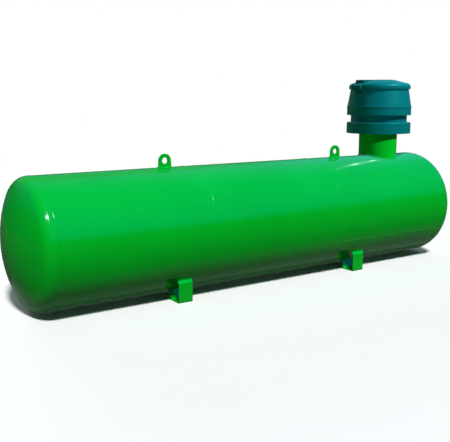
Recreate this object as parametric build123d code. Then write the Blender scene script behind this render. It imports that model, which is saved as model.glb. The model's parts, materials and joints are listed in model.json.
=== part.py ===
from build123d import *
from math import atan2, cos, degrees, hypot, radians, sin, sqrt
import os

# Horizontal pressure tank: +X along the tank, +Z up, origin on the floor under the middle of the tank.
# The service neck is at the +X end, the longitudinal seam that shows is on the -Y side.

# Vessel
tank_diameter = 1250.0
tank_length = 5415.0
ground_clearance = 20.0
shell_wall = 6.5
head_wall = 7.5
crown_radius = 1250.0
knuckle_radius = 125.0
straight_flange = 16.0
left_course_length = 1601.0
right_course_length = 1658.5

# Welds on the vessel
bead_width = 16.0
bead_height = 2.5
right_seam_angle = -25.0
middle_seam_angle = 155.0
left_seam_angle = 205.0

# Service neck
neck_from_end = 796.5
neck_diameter = 457.0
neck_wall = 10.0
neck_weld_leg = 14.0
flange_width = 71.5
flange_thickness = 30.0
flange_joint_height = 2.0
flange_joint_width = 33.5

# Service cover, from the bottom up
cover_bottom_above_tank = 264.0
cover_wall = 5.0
neck_fit = 0.5
collar_inset = 1.0
collar_height = 131.0
collar_edge_radius = 9.0
groove_depth = 48.0
groove_height = 87.0
flange_room = 31.0
sleeve_lip_thickness = 10.0
body_band_height = 93.0
body_band_taper = 2.5
body_taper_height = 205.0
body_taper = 39.0
body_flange_width = 34.0
body_rim_rise = 25.0
body_rim_width = 6.0

# Hinged lid
lid_overhang = 21.0
lid_height = 112.0
lid_shoulder_height = 60.0
lid_top_radius = 170.0
lid_shoulder_round = 45.0
lid_top_round = 160.0
lid_seat_width = 7.0
lid_seat_gap = 0.3

# Hinge on the -X side of the cover and padlock ears on the +X side
hinge_standoff = 22.0
hinge_rise = 8.0
knuckle_size = 12.0
pin_radius = 6.0
pin_clearance = 0.05
pin_head_radius = 10.0
pin_head_thickness = 4.0
bracket_half_width = 27.0
hinge_side_gap = 5.0
hinge_arm_width = 30.0
hinge_web_gap = 6.0
hinge_block_drop = 4.0
block_end_inset = 26.0
block_end_slant = 10.0
arm_root_rise = 60.0
arm_tip_rise = 32.0
bracket_drop = 62.0
bracket_back_inset = 8.0
pad_half_width = 49.0
pad_thickness = 14.0
ear_half_width = 22.0
ear_reach = 30.0
ear_thickness = 6.0
ear_gap = 6.0
ear_hole_radius = 7.0
ear_hole_inset = 15.0

# Lifting lugs
left_lug_from_end = 1617.5
right_lug_from_end = 1507.5
lug_width = 148.0
lug_thickness = 20.0
lug_hole_radius = 32.0
lug_hole_height = 68.5
lug_top_radius = 69.0
lug_weld_leg = 9.0

# Feet of bent plate
foot_from_end = 1557.5
foot_length = 156.0
foot_inset = 135.0
foot_base_depth = 158.0
foot_fold_drop = 59.0
foot_plate = 8.0
foot_bend_radius = 16.0
foot_fold_angle = 38.0
foot_rear_angle = 25.0
foot_weld_radius = 7.0

# Fittings on the closing plate
fitting_inset = 78.5
stub_radius = 24.0
stub_height = 26.0
hex_across_flats = 62.0
hex_height = 26.0
fill_body_radius = 25.0
fill_body_height = 62.0
fill_cap_radius = 36.0
fill_cap_height = 40.0
relief_body_radius = 22.0
relief_body_height = 120.0
relief_hood_radius = 30.0
relief_hood_height = 22.0
valve_body_radius = 20.0
valve_body_height = 86.0
valve_outlet_radius = 13.0
valve_outlet_length = 62.0
valve_outlet_height = 52.0
valve_cap_radius = 19.0
valve_cap_length = 20.0
valve_stem_radius = 6.0
valve_stem_height = 22.0
handwheel_radius = 34.0
handwheel_rim = 5.0
handwheel_hub_radius = 10.0
handwheel_spokes = 3
gauge_plate_side = 84.0
gauge_plate_thickness = 10.0
gauge_body_radius = 30.0
gauge_body_height = 24.0
gauge_dial_radius = 44.0
gauge_dial_height = 26.0
gauge_window_depth = 4.0
gauge_window_inset = 5.0

# Values worked out from the driving dimensions
tank_radius = tank_diameter / 2
axis_z = tank_radius + ground_clearance
crown_depth = crown_radius - sqrt((crown_radius - knuckle_radius) ** 2 - (tank_radius - knuckle_radius) ** 2)
head_weld_x = tank_length / 2 - crown_depth - straight_flange
left_course_weld_x = left_course_length - head_weld_x
right_course_weld_x = head_weld_x - right_course_length
neck_x = tank_length / 2 - neck_from_end
neck_radius = neck_diameter / 2
cover_z = axis_z + tank_radius + cover_bottom_above_tank
inner_z = cover_z + cover_wall
collar_top_z = cover_z + collar_height
lip_z = collar_top_z + groove_height
body_z = lip_z + sleeve_lip_thickness
taper_z = body_z + body_band_height
lid_z = taper_z + body_taper_height
rim_z = lid_z + body_rim_rise
flange_radius = neck_radius + flange_width
sleeve_radius = flange_radius + flange_room + cover_wall
body_radius = sleeve_radius + groove_depth
collar_radius = body_radius - collar_inset
body_top_radius = body_radius - body_taper
lid_radius = body_top_radius + lid_overhang
hinge_x = neck_x - lid_radius - hinge_standoff
hinge_z = lid_z + hinge_rise
fitting_circle = neck_radius - fitting_inset
plate_z = inner_z + flange_thickness
plate_top_z = plate_z + flange_joint_height + flange_thickness
arm_inner_y = bracket_half_width + hinge_side_gap
arm_outer_y = arm_inner_y + hinge_arm_width

parts = {}


def on_circle(centre, radius, angle):
    """The point of a circle at an angle in degrees."""
    return (centre[0] + radius * cos(radians(angle)), centre[1] + radius * sin(radians(angle)))


def face_of(*edges):
    """A face inside joined edges."""
    return make_face(Curve() + list(edges))


def face_between(*points):
    """A face inside a closed outline of straight edges."""
    return make_face(Polyline(*points, close=True))


def along_tank(radius, x_from, x_to):
    """A round bar on the axis of the tank."""
    bar = Cylinder(radius, x_to - x_from, rotation=(0, 90, 0))
    return Pos((x_from + x_to) / 2, 0, axis_z) * bar


def round_tank(face):
    """A face of place and radius, turned about the axis of the tank."""
    return Pos(0, 0, axis_z) * Rot(180, 0, 0) * revolve(Plane.XZ * face, Axis.X)


def upright(radius, z_from, z_to, x=0.0, y=0.0):
    """A vertical round bar."""
    bar = Cylinder(radius, z_to - z_from, align=(Align.CENTER, Align.CENTER, Align.MIN))
    return Pos(x, y, z_from) * bar


def upright_ring(outer_radius, inner_radius, z_from, z_to):
    """A ring round the axis of the neck."""
    return upright(outer_radius, z_from, z_to, neck_x) - upright(inner_radius, z_from, z_to, neck_x)


def block(x_from, x_to, y_from, y_to, z_from, z_to):
    """A box between two corners."""
    solid = Box(x_to - x_from, y_to - y_from, z_to - z_from)
    return Pos((x_from + x_to) / 2, (y_from + y_to) / 2, (z_from + z_to) / 2) * solid


def round_neck(face):
    """A face of radius and height, turned about the axis of the neck."""
    return Pos(neck_x, 0, 0) * revolve(Plane.XZ * face, Axis.Z)


def plate_across(points, y_from, y_to):
    """An outline of x and z, made a plate between two planes of Y."""
    face = Plane.XZ * face_between(*points)
    return Pos(0, y_to, 0) * extrude(face, y_to - y_from)


tank_envelope = along_tank(tank_radius, -tank_length, tank_length)
tank_bore = along_tank(tank_radius - shell_wall, -tank_length, tank_length)


# Dished ends

def head_line(offset):
    """One side of the dished end's section: flange, knuckle and crown, an offset inside the outer face."""
    knuckle_centre = (straight_flange, tank_radius - knuckle_radius)
    crown_centre = (straight_flange + crown_depth - crown_radius, 0)
    blend = degrees(atan2(knuckle_centre[1], knuckle_centre[0] - crown_centre[0]))
    small = knuckle_radius - offset
    large = crown_radius - offset
    start = (0, tank_radius - offset)
    knuckle_start = on_circle(knuckle_centre, small, 90)
    knuckle_middle = on_circle(knuckle_centre, small, (90 + blend) / 2)
    joint = on_circle(knuckle_centre, small, blend)
    crown_middle = on_circle(crown_centre, large, blend / 2)
    tip = on_circle(crown_centre, large, 0)
    edges = [
        Line(start, knuckle_start),
        ThreePointArc(knuckle_start, knuckle_middle, joint),
        ThreePointArc(joint, crown_middle, tip),
    ]
    return edges, start, tip


outer_edges, outer_start, outer_tip = head_line(0)
inner_edges, inner_start, inner_tip = head_line(head_wall)
head_edges = outer_edges + inner_edges + [Line(outer_start, inner_start), Line(outer_tip, inner_tip)]
right_head = Pos(head_weld_x, 0, 0) * round_tank(face_of(*head_edges))
parts["right_head"] = right_head
parts["left_head"] = mirror(right_head, about=Plane.YZ)


# Shell courses

def course(x_from, x_to):
    """A rolled plate of the shell."""
    inner = tank_radius - shell_wall
    corners = [(x_from, inner), (x_from, tank_radius), (x_to, tank_radius), (x_to, inner)]
    return round_tank(face_between(*corners))


neck_hole = upright(neck_radius, axis_z, axis_z + tank_diameter, neck_x)
parts["left_shell_course"] = course(-head_weld_x, left_course_weld_x)
parts["middle_shell_course"] = course(left_course_weld_x, right_course_weld_x)
parts["right_shell_course"] = course(right_course_weld_x, head_weld_x) - neck_hole


# Weld beads

def round_bead(x):
    """A weld bead round the tank."""
    left = (x - bead_width / 2, tank_radius)
    right = (x + bead_width / 2, tank_radius)
    crest = (x, tank_radius + bead_height)
    return round_tank(face_of(ThreePointArc(left, crest, right), Line(left, right)))


def long_bead(x_from, x_to, angle):
    """A weld bead along a course. Angle 0 is level on the -Y side, and grows upwards."""
    bow = (bead_width ** 2 / 4 + bead_height ** 2) / (2 * bead_height)
    reach = tank_radius + bead_height - bow
    bar = Cylinder(bow, x_to - x_from - bead_width, rotation=(0, 90, 0))
    y = -reach * cos(radians(angle))
    z = axis_z + reach * sin(radians(angle))
    return Pos((x_from + x_to) / 2, y, z) * bar - tank_envelope


parts["left_head_weld"] = round_bead(-head_weld_x)
parts["left_course_weld"] = round_bead(left_course_weld_x)
parts["right_course_weld"] = round_bead(right_course_weld_x)
parts["right_head_weld"] = round_bead(head_weld_x)
parts["left_seam_weld"] = long_bead(-head_weld_x, left_course_weld_x, left_seam_angle)
parts["middle_seam_weld"] = long_bead(left_course_weld_x, right_course_weld_x, middle_seam_angle)
parts["right_seam_weld"] = long_bead(right_course_weld_x, head_weld_x, right_seam_angle)


# Service neck

parts["neck_pipe"] = upright_ring(neck_radius, neck_radius - neck_wall, axis_z, plate_z) - tank_bore

saddle = along_tank(tank_radius + neck_weld_leg, neck_x - tank_radius, neck_x + tank_radius) - tank_envelope
weld_ring = upright_ring(neck_radius + neck_weld_leg, neck_radius, axis_z, plate_z)
neck_weld = (saddle & weld_ring).solids()[0]


def is_outer_edge(edge):
    """True for the saddle's free corner."""
    point = edge @ 0.37
    from_neck = hypot(point.X - neck_x, point.Y)
    from_tank = hypot(point.Y, point.Z - axis_z)
    return from_neck > neck_radius + neck_weld_leg - 1 and from_tank > tank_radius + neck_weld_leg - 1


neck_weld = chamfer(neck_weld.edges().filter_by(is_outer_edge), neck_weld_leg - 2)
parts["neck_weld"] = neck_weld


parts["neck_flange"] = upright_ring(flange_radius, neck_radius, inner_z, plate_z)
closing_plate = upright(flange_radius, plate_z + flange_joint_height, plate_top_z, neck_x)
joint_radius = neck_radius + flange_joint_width
closing_plate += upright(joint_radius, plate_z, plate_z + flange_joint_height, neck_x)
parts["closing_plate"] = closing_plate


# Service cover

parts["cover_floor"] = upright_ring(collar_radius, neck_radius + neck_fit, cover_z, inner_z)

collar_line = FilletPolyline(
    (collar_radius, inner_z),
    (collar_radius, collar_top_z),
    (sleeve_radius, collar_top_z),
    radius=collar_edge_radius,
)
collar_face = make_face(offset(collar_line, amount=cover_wall, side=Side.LEFT))
parts["cover_collar"] = round_neck(collar_face)

sleeve_face = face_between(
    (sleeve_radius, inner_z),
    (sleeve_radius, lip_z),
    (body_radius, lip_z),
    (body_radius, body_z),
    (sleeve_radius - cover_wall, body_z),
    (sleeve_radius - cover_wall, inner_z),
)
parts["cover_sleeve"] = round_neck(sleeve_face)

band_top_radius = body_radius - body_band_taper
body_slope = (band_top_radius - body_top_radius) / body_taper_height
rim_radius = body_top_radius - body_slope * body_rim_rise
body_outline = [
    (body_radius, body_z),
    (band_top_radius, taper_z),
    (rim_radius, rim_z),
]
body_face = face_between(
    *body_outline,
    (rim_radius - cover_wall - body_rim_width, rim_z),
    (rim_radius - cover_wall - body_rim_width, rim_z - cover_wall),
    (rim_radius - cover_wall, rim_z - cover_wall),
    (band_top_radius - cover_wall, taper_z),
    (body_radius - cover_wall, body_z + cover_wall),
    (body_radius - body_flange_width, body_z + cover_wall),
    (body_radius - body_flange_width, body_z),
)
parts["cover_body"] = round_neck(body_face)
body_envelope = round_neck(face_between(*body_outline, (0, rim_z), (0, body_z)))


# Hinged lid

lid_top_z = lid_z + lid_height
lid_line = FilletPolyline(
    (lid_radius, lid_z),
    (lid_radius, lid_z + lid_shoulder_height),
    (lid_top_radius, lid_top_z),
    (0, lid_top_z),
    radius=(lid_shoulder_round, lid_top_round),
)
lid_shell = make_face(offset(lid_line, amount=cover_wall, side=Side.LEFT))
lid_outline = face_of(lid_line, Line((0, lid_top_z), (0, lid_z)), Line((0, lid_z), (lid_radius, lid_z)))
seat_z = rim_z + lid_seat_gap
seat_outer = rim_radius - cover_wall
seat_ring = face_between(
    (seat_outer - lid_seat_width, seat_z),
    (seat_outer, seat_z),
    (seat_outer, lid_top_z),
    (seat_outer - lid_seat_width, lid_top_z),
)
parts["cover_lid"] = round_neck(lid_shell + (seat_ring & lid_outline))
lid_envelope = round_neck(lid_outline)


# Hinge

def hinge_bar(radius, y_from, y_to):
    """A round bar on the axis of the hinge."""
    bar = Cylinder(radius, y_to - y_from, rotation=(90, 0, 0))
    return Pos(hinge_x, (y_from + y_to) / 2, hinge_z) * bar


block_top_z = lid_top_z - hinge_block_drop
block_outer_x = hinge_x - knuckle_size
block_inner_x = neck_x - lid_top_radius
block_end_x = neck_x - lid_radius + block_end_inset
web_z = hinge_z + knuckle_size + hinge_web_gap
block_outline = [
    (block_outer_x, web_z),
    (block_outer_x, hinge_z + arm_tip_rise),
    (block_end_x - block_end_slant, hinge_z + arm_root_rise),
    (block_end_x, block_top_z),
    (block_inner_x, block_top_z),
    (block_inner_x, web_z),
]
hinge_block = plate_across(block_outline, -arm_outer_y, arm_outer_y)
arm_outline = [
    (block_outer_x, hinge_z),
    (block_outer_x, web_z),
    (block_inner_x, web_z),
    (block_inner_x, hinge_z),
]
for y_from, y_to in ((-arm_outer_y, -arm_inner_y), (arm_inner_y, arm_outer_y)):
    hinge_block += plate_across(arm_outline, y_from, y_to) + hinge_bar(knuckle_size, y_from, y_to)
hinge_block -= lid_envelope
hinge_block -= upright(lid_radius, lid_z - lid_height, lid_z + lid_shoulder_height / 2, neck_x)
hinge_block -= hinge_bar(pin_radius, -2 * arm_outer_y, 2 * arm_outer_y)
parts["hinge_block"] = hinge_block

bracket_outline = [
    (hinge_x - knuckle_size / 2, hinge_z),
    (hinge_x - knuckle_size / 2, hinge_z - 2 * knuckle_size),
    (neck_x - body_top_radius - bracket_back_inset, lid_z - bracket_drop),
    (neck_x - body_top_radius + knuckle_size, lid_z - bracket_drop),
    (neck_x - body_top_radius + knuckle_size, lid_z - hinge_rise),
    (hinge_x + knuckle_size, lid_z - hinge_rise),
    (hinge_x + knuckle_size, hinge_z),
]
pad_outer_x = neck_x - body_top_radius - pad_thickness
pad_inner_x = neck_x - body_top_radius + pad_thickness
pad_z = lid_z - bracket_drop
hinge_bracket = block(pad_outer_x, pad_inner_x, -pad_half_width, pad_half_width, pad_z, lid_z - hinge_rise)
hinge_bracket += plate_across(bracket_outline, -bracket_half_width, bracket_half_width)
hinge_bracket += hinge_bar(knuckle_size, -bracket_half_width, bracket_half_width)
hinge_bracket -= body_envelope
hinge_bracket -= hinge_bar(pin_radius + pin_clearance, -arm_outer_y, arm_outer_y)
parts["hinge_bracket"] = hinge_bracket

hinge_pin = hinge_bar(pin_radius, -arm_outer_y, arm_outer_y)
hinge_pin += hinge_bar(pin_head_radius, -arm_outer_y - pin_head_thickness, -arm_outer_y)
hinge_pin += hinge_bar(pin_head_radius, arm_outer_y, arm_outer_y + pin_head_thickness)
parts["hinge_pin"] = hinge_pin


# Padlock ears

def lock_ear(z_from, inner_radius):
    """A level ear with a padlock hole."""
    z_to = z_from + ear_thickness
    reach = neck_x + lid_radius + ear_reach
    ear = block(neck_x + inner_radius, reach, -ear_half_width, ear_half_width, z_from, z_to)
    ear = fillet(ear.edges().filter_by(Axis.Z).sort_by(Axis.X)[2:], ear_half_width / 2)
    return ear - upright(ear_hole_radius, z_from, z_to, reach - ear_hole_inset)


body_ear_z = lid_z - ear_gap - ear_thickness
parts["lid_lock_ear"] = lock_ear(lid_z, lid_radius - ear_reach) - upright(lid_radius, lid_z, rim_z, neck_x)
parts["body_lock_ear"] = lock_ear(body_ear_z, body_top_radius - ear_reach) - body_envelope


# Lifting lugs

crown_z = axis_z + tank_radius


def lifting_lug(x):
    """An upright plate with a round top and a shackle hole."""
    hole_z = crown_z + lug_hole_height
    lean = degrees(atan2(lug_width / 2 - lug_top_radius, lug_hole_height))
    side = on_circle((0, hole_z), lug_top_radius, -lean / 2)
    foot_z = crown_z - lug_thickness
    face = face_of(
        Line((x - lug_width / 2, foot_z), (x + lug_width / 2, foot_z)),
        Line((x + lug_width / 2, foot_z), (x + side[0], side[1])),
        ThreePointArc((x + side[0], side[1]), (x, hole_z + lug_top_radius), (x - side[0], side[1])),
        Line((x - side[0], side[1]), (x - lug_width / 2, foot_z)),
    )
    plate = Pos(0, lug_thickness / 2, 0) * extrude(Plane.XZ * face, lug_thickness)
    hole = Pos(x, 0, hole_z) * Cylinder(lug_hole_radius, 2 * lug_thickness, rotation=(90, 0, 0))
    return plate - hole - tank_envelope


def lug_weld(x, lug):
    """The fillet weld round a lug's foot."""
    half_x = lug_width / 2 + lug_weld_leg
    half_y = lug_thickness / 2 + lug_weld_leg
    bead = block(x - half_x, x + half_x, -half_y, half_y, crown_z - lug_thickness, crown_z + lug_weld_leg)
    bead = chamfer(bead.faces().sort_by(Axis.Z)[-1].edges(), lug_weld_leg - 1)
    return bead - tank_envelope - lug


for side_name, lug_x in (
    ("left", left_lug_from_end - tank_length / 2),
    ("right", tank_length / 2 - right_lug_from_end),
):
    lug = lifting_lug(lug_x)
    parts[side_name + "_lifting_lug"] = lug
    parts[side_name + "_lug_weld"] = lug_weld(lug_x, lug)


# Feet

foot_x = tank_length / 2 - foot_from_end
foot_outer_y = tank_radius - foot_inset
foot_inner_y = foot_outer_y - foot_base_depth
foot_front_height = axis_z - sqrt(tank_radius ** 2 - foot_outer_y ** 2) - foot_fold_drop


def onto_tank(y, z, lean):
    """Where a line from a point, leaning towards the middle by an angle in degrees, meets the tank."""
    step = (-sin(radians(lean)), cos(radians(lean)))
    from_axis = (y, z - axis_z)
    along = from_axis[0] * step[0] + from_axis[1] * step[1]
    beyond = from_axis[0] ** 2 + from_axis[1] ** 2 - tank_radius ** 2
    length = -along - sqrt(along ** 2 - beyond)
    return (y + length * step[0], z + length * step[1]), step


front_seat, front_step = onto_tank(foot_outer_y, foot_front_height, foot_fold_angle)
rear_seat, rear_step = onto_tank(foot_inner_y, 0, foot_rear_angle)


def foot(x):
    """A bent-plate foot on the +Y side, open at both ends and cut to the tank."""
    beyond = 2 * foot_plate
    line = FilletPolyline(
        (rear_seat[0] + rear_step[0] * beyond, rear_seat[1] + rear_step[1] * beyond),
        (foot_inner_y, 0),
        (foot_outer_y, 0),
        (foot_outer_y, foot_front_height),
        (front_seat[0] + front_step[0] * beyond, front_seat[1] + front_step[1] * beyond),
        radius=foot_bend_radius,
    )
    face = make_face(offset(line, amount=foot_plate, side=Side.LEFT))
    return Pos(x - foot_length / 2, 0, 0) * extrude(Plane.YZ * face, foot_length) - tank_envelope


def foot_welds(x, plate):
    """The beads along the outside of a foot's two seats."""
    middle_y = (foot_inner_y + foot_outer_y) / 2
    beads = []
    for y, z in (front_seat, rear_seat):
        bar = Pos(x, y, z) * Cylinder(foot_weld_radius, foot_length, rotation=(0, 90, 0))
        pieces = (bar - tank_envelope - plate).solids()
        beads.append(max(pieces, key=lambda piece: abs(piece.center().Y - middle_y)))
    return beads


all_foot_welds = []
for end_name, x in (("left", -foot_x), ("right", foot_x)):
    rear_foot = foot(x)
    parts["rear_" + end_name + "_foot"] = rear_foot
    parts["front_" + end_name + "_foot"] = mirror(rear_foot, about=Plane.XZ)
    for bead in foot_welds(x, rear_foot):
        all_foot_welds.append(bead)
        all_foot_welds.append(mirror(bead, about=Plane.XZ))
parts["foot_welds"] = Compound(children=all_foot_welds)


# Fittings on the closing plate

def hexagon(x, y, z_from, z_to, across):
    """A six-sided bar."""
    base = Pos(x, y, z_from) * RegularPolygon(across / sqrt(3), 6)
    return extrude(base, z_to - z_from)


def fitting_place(angle):
    """A place on the circle of fittings."""
    return on_circle((neck_x, 0), fitting_circle, angle)


def base_of(x, y):
    """The welded stub and the hexagon that each fitting is screwed in by."""
    stub = upright(stub_radius, plate_top_z, hex_z, x, y)
    return stub + hexagon(x, y, hex_z, fitting_z, hex_across_flats)


hex_z = plate_top_z + stub_height
fitting_z = hex_z + hex_height


def filling_valve(x, y):
    """A filling valve under its screw cap."""
    top = fitting_z + fill_body_height
    valve = base_of(x, y) + upright(fill_body_radius, fitting_z, top, x, y)
    return valve + upright(fill_cap_radius, top, top + fill_cap_height, x, y)


def relief_valve(x, y):
    """A relief valve under its rain hood."""
    top = fitting_z + relief_body_height
    valve = base_of(x, y) + upright(relief_body_radius, fitting_z, top, x, y)
    return valve + upright(relief_hood_radius, top, top + relief_hood_height, x, y)


def service_valve(x, y, turn):
    """A valve with a handwheel and a capped side outlet."""
    top = fitting_z + valve_body_height
    valve = base_of(x, y) + upright(valve_body_radius, fitting_z, top, x, y)
    outlet = Pos(valve_outlet_length / 2, 0, 0) * Cylinder(
        valve_outlet_radius, valve_outlet_length, rotation=(0, 90, 0)
    )
    cap = Pos(valve_outlet_length - valve_cap_length / 2, 0, 0) * Cylinder(
        valve_cap_radius, valve_cap_length, rotation=(0, 90, 0)
    )
    valve += Pos(x, y, fitting_z + valve_outlet_height) * Rot(0, 0, turn) * (outlet + cap)
    return valve + upright(valve_stem_radius, top, top + valve_stem_height, x, y)


def handwheel(x, y):
    """A handwheel with its rim, hub and spokes."""
    z = fitting_z + valve_body_height + valve_stem_height
    rim_section = Pos(handwheel_radius, 0) * RegularPolygon(handwheel_rim, 8, rotation=22.5)
    wheel = revolve(Plane.XZ * rim_section, Axis.Z)
    wheel += Cylinder(handwheel_hub_radius, 2 * handwheel_rim)
    for number in range(handwheel_spokes):
        spoke = Pos(handwheel_radius / 2, 0, 0) * Box(handwheel_radius, handwheel_rim, handwheel_rim)
        wheel += Rot(0, 0, number * 360 / handwheel_spokes) * spoke
    return Pos(x, y, z + handwheel_rim) * wheel


def level_gauge(x, y):
    """A contents gauge on its square plate, with a sunk dial face."""
    half = gauge_plate_side / 2
    plate_top = plate_top_z + gauge_plate_thickness
    body_top = plate_top + gauge_body_height
    dial_top = body_top + gauge_dial_height
    gauge = block(x - half, x + half, y - half, y + half, plate_top_z, plate_top)
    gauge += upright(gauge_body_radius, plate_top, body_top, x, y)
    gauge += upright(gauge_dial_radius, body_top, dial_top, x, y)
    window_radius = gauge_dial_radius - gauge_window_inset
    return gauge - upright(window_radius, dial_top - gauge_window_depth, dial_top, x, y)


parts["filling_valve"] = filling_valve(*fitting_place(0))
parts["relief_valve"] = relief_valve(*fitting_place(90))
parts["gas_valve"] = service_valve(*fitting_place(180), 180)
parts["gas_valve_wheel"] = handwheel(*fitting_place(180))
parts["liquid_valve"] = service_valve(*fitting_place(270), 270)
parts["liquid_valve_wheel"] = handwheel(*fitting_place(270))
parts["level_gauge"] = level_gauge(neck_x, 0)

os.makedirs("parts", exist_ok=True)
for name, part in parts.items():
    export_step(part, os.path.join("parts", name + ".step"))
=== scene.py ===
import json
import math

import bpy
from mathutils import Matrix, Vector

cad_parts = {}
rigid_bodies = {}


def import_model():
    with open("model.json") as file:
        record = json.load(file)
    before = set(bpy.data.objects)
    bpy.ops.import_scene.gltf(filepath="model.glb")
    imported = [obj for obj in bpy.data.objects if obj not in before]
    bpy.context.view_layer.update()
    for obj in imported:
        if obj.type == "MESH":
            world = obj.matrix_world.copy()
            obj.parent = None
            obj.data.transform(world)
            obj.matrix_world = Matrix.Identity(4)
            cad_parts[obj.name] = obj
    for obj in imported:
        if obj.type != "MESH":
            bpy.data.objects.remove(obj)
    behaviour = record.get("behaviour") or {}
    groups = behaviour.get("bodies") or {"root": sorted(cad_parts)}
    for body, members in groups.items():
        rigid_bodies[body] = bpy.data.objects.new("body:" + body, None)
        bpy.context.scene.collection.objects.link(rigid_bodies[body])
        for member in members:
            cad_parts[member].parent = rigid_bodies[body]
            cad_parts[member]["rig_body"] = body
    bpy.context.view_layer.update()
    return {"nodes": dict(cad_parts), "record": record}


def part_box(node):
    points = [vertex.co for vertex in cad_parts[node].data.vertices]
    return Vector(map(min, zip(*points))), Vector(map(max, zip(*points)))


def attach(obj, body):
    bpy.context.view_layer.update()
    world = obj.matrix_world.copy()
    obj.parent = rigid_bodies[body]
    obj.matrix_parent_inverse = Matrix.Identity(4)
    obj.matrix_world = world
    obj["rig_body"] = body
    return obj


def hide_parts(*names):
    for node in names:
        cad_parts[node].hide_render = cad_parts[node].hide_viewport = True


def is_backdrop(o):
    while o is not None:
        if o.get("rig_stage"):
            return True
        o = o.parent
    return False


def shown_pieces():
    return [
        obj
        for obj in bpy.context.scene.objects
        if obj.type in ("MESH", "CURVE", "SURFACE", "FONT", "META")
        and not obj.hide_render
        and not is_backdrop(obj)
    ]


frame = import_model()
nodes = frame["nodes"]
slotOf = {part["node"]: part["material_slot"] for part in frame["record"]["subparts"]}
print("frame loaded", len(nodes), "nodes")


# Places that the frame gives
def boxOf(name):
    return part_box(name)


def middleOf(name):
    low, high = boxOf(name)
    return (low + high) / 2


courseLow, courseHigh = boxOf("middle_shell_course")
neckLow, neckHigh = boxOf("neck_pipe")
axisZ = (courseLow.z + courseHigh.z) / 2
tankRadius = (courseHigh.z - courseLow.z) / 2
neckX = middleOf("neck_flange").x
neckRadius = (neckHigh.y - neckLow.y) / 2
fullTurn = 2 * math.pi
quarterTurn = math.pi / 2


# Camera, where the photograph was taken from
camera = {
    "place": (-4.5025, -6.1129, 1.945),
    "turn": (80.09, 0.0, -34.11),
    "lens": 55.92,
    "sensor": 36.0,
    "reach": 200.0,
}


def addCamera():
    angles = [math.radians(angle) for angle in camera["turn"]]
    bpy.ops.object.camera_add(location=camera["place"], rotation=angles)
    view = bpy.context.object
    view.name = "photoView"
    view.data.lens = camera["lens"]
    view.data.sensor_width = camera["sensor"]
    view.data.clip_end = camera["reach"]
    bpy.context.scene.camera = view


addCamera()
bpy.context.scene.view_settings.view_transform = "Standard"
print("camera set")


# Nodes of a material tree
black = (0.0, 0.0, 0.0)
white = (1.0, 1.0, 1.0)


def setSocket(tree, socket, value):
    if isinstance(value, bpy.types.NodeSocket):
        tree.links.new(value, socket)
    else:
        socket.default_value = value


def addNode(tree, kind, settings=None, **inputs):
    node = tree.nodes.new(kind)
    for name, value in (settings or {}).items():
        setattr(node, name, value)
    for name, value in inputs.items():
        setSocket(tree, node.inputs[name.replace("_", " ")], value)
    return node


def noiseOf(tree, place, scale, detail):
    node = addNode(tree, "ShaderNodeTexNoise", Vector=place, Scale=scale, Detail=detail)
    return node.outputs["Fac"]


def rampOf(tree, value, stops):
    node = addNode(tree, "ShaderNodeValToRGB", Fac=value)
    ramp = node.color_ramp
    while len(ramp.elements) < len(stops):
        ramp.elements.new(0.5)
    for element, (position, colour) in zip(ramp.elements, stops):
        element.position = position
        element.color = (*colour, 1.0)
    return node.outputs["Color"]


def riseOf(tree, value, start, end):
    return rampOf(tree, value, [(start, black), (end, white)])


def fallOf(tree, value, start, end):
    return rampOf(tree, value, [(start, white), (end, black)])


def fadeOf(tree, value, start, end, lowest=0.0):
    node = addNode(tree, "ShaderNodeMapRange", {"interpolation_type": "SMOOTHSTEP"},
                   Value=value, From_Min=start, From_Max=end, To_Min=lowest)
    return node.outputs[0]


def mathOf(tree, operation, first, second=0.0, third=0.0, clamp=False):
    node = addNode(tree, "ShaderNodeMath", {"operation": operation, "use_clamp": clamp})
    for socket, value in zip(node.inputs, (first, second, third)):
        setSocket(tree, socket, value)
    return node.outputs[0]


def lengthOf(tree, vector):
    node = addNode(tree, "ShaderNodeVectorMath", {"operation": "LENGTH"}, Vector=vector)
    return node.outputs["Value"]


# A mix node has sockets for numbers and vectors before those for its two colours
def mixOf(tree, factor, first, second):
    node = addNode(tree, "ShaderNodeMix", {"data_type": "RGBA"})
    for index, value in ((0, factor), (6, first), (7, second)):
        if isinstance(value, tuple):
            value = (*value, 1.0)
        setSocket(tree, node.inputs[index], value)
    return node.outputs[2]


def blendOf(tree, factor, first, second):
    node = addNode(tree, "ShaderNodeMixShader", Fac=factor)
    tree.links.new(first.outputs[0], node.inputs[1])
    tree.links.new(second.outputs[0], node.inputs[2])
    return node


def bumpOf(tree, height, distance, strength=1.0, below=None):
    node = addNode(tree, "ShaderNodeBump", Height=height, Strength=strength, Distance=distance)
    if below is not None:
        tree.links.new(below, node.inputs["Normal"])
    return node.outputs["Normal"]


def showAs(tree, shader):
    tree.links.new(shader.outputs[0], tree.nodes["Material Output"].inputs["Surface"])


def newMaterial(name):
    material = bpy.data.materials.new(name)
    material.use_nodes = True
    tree = material.node_tree
    place = addNode(tree, "ShaderNodeTexCoord").outputs["Object"]
    return material, tree, tree.nodes["Principled BSDF"], place


# A colour that drifts between dark and pale. The look's clouds are the scale and detail of its
# noise, and between says which part of the noise the change takes up
def mottled(name, look):
    material, tree, shader, place = newMaterial(name)
    clouds = noiseOf(tree, place, *look["clouds"])
    start, end = look["between"]
    colour = rampOf(tree, clouds, [(start, look["dark"]), (end, look["pale"])])
    tree.links.new(colour, shader.inputs["Base Color"])
    shader.inputs["Roughness"].default_value = look["roughness"]
    return material, tree, shader, place


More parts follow.
